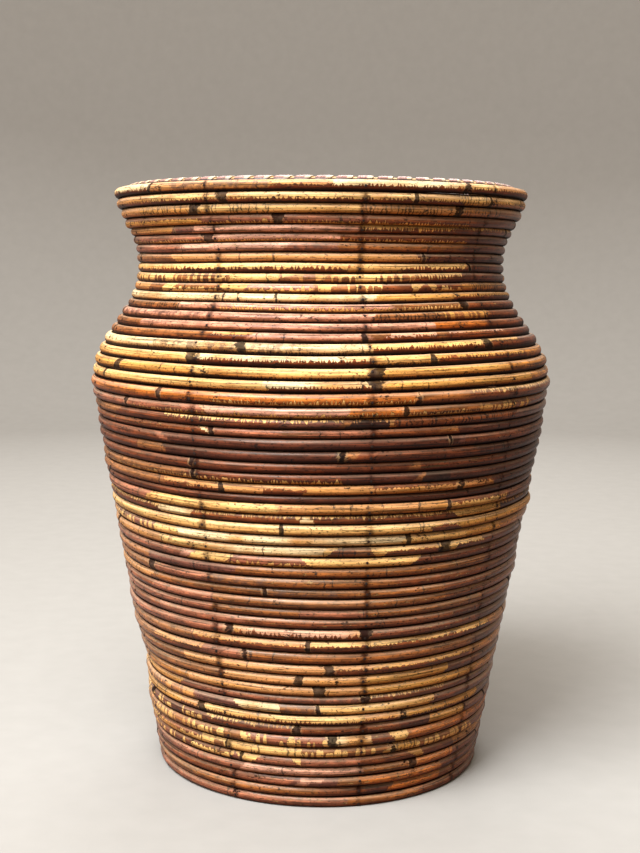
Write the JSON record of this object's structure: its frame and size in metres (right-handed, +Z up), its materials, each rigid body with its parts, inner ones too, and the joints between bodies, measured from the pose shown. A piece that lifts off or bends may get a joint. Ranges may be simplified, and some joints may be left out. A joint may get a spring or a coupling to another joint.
{
  "type": "reed floor vase",
  "caption": "Wide-mouthed floor vase of round rattan cane wound in level courses over inner uprights, with a strip-bound rim; holds dried stems or branches.",
  "frame": {"origin": "on the floor, under the middle of the bottom board", "axes": "+Z up along the vase's axis, -Y towards the side shown in the picture"},
  "size_m": [0.3627, 0.3626, 0.4627],
  "materials": {
    "straw_cane": "scraped cane, satin, patches of bark left on",
    "honey_cane": "honey bark, varnished, satin to glossy",
    "russet_cane": "red-brown bark, varnished, glossy",
    "dark_cane": "dark brown bark, varnished, glossy",
    "lath": "bare split lath, matt",
    "board": "bare plywood, matt",
    "hoop": "peeled cane core, matt",
    "binding": "split cane, bark side out, satin"
  },
  "bodies": {
    "root": {"base_board": "board", "upright_1": "lath", "upright_2": "lath", "upright_3": "lath", "upright_4": "lath", "upright_5": "lath", "upright_6": "lath", "upright_7": "lath", "upright_8": "lath", "upright_9": "lath", "cane_01": "russet_cane", "cane_02": "russet_cane", "cane_03": "straw_cane", "cane_04": "honey_cane", "cane_05": "honey_cane", "cane_06": "honey_cane", "cane_07": "russet_cane", "cane_08": "straw_cane", "cane_09": "dark_cane", "cane_10": "dark_cane", "cane_11": "dark_cane", "cane_12": "honey_cane", "cane_13": "straw_cane", "cane_14": "russet_cane", "cane_15": "straw_cane", "cane_16": "honey_cane", "cane_17": "russet_cane", "cane_18": "straw_cane", "rim_hoop": "hoop", "rim_binding_1": "binding", "rim_binding_2": "binding", "rim_binding_3": "binding"}
  },
  "joints": []
}
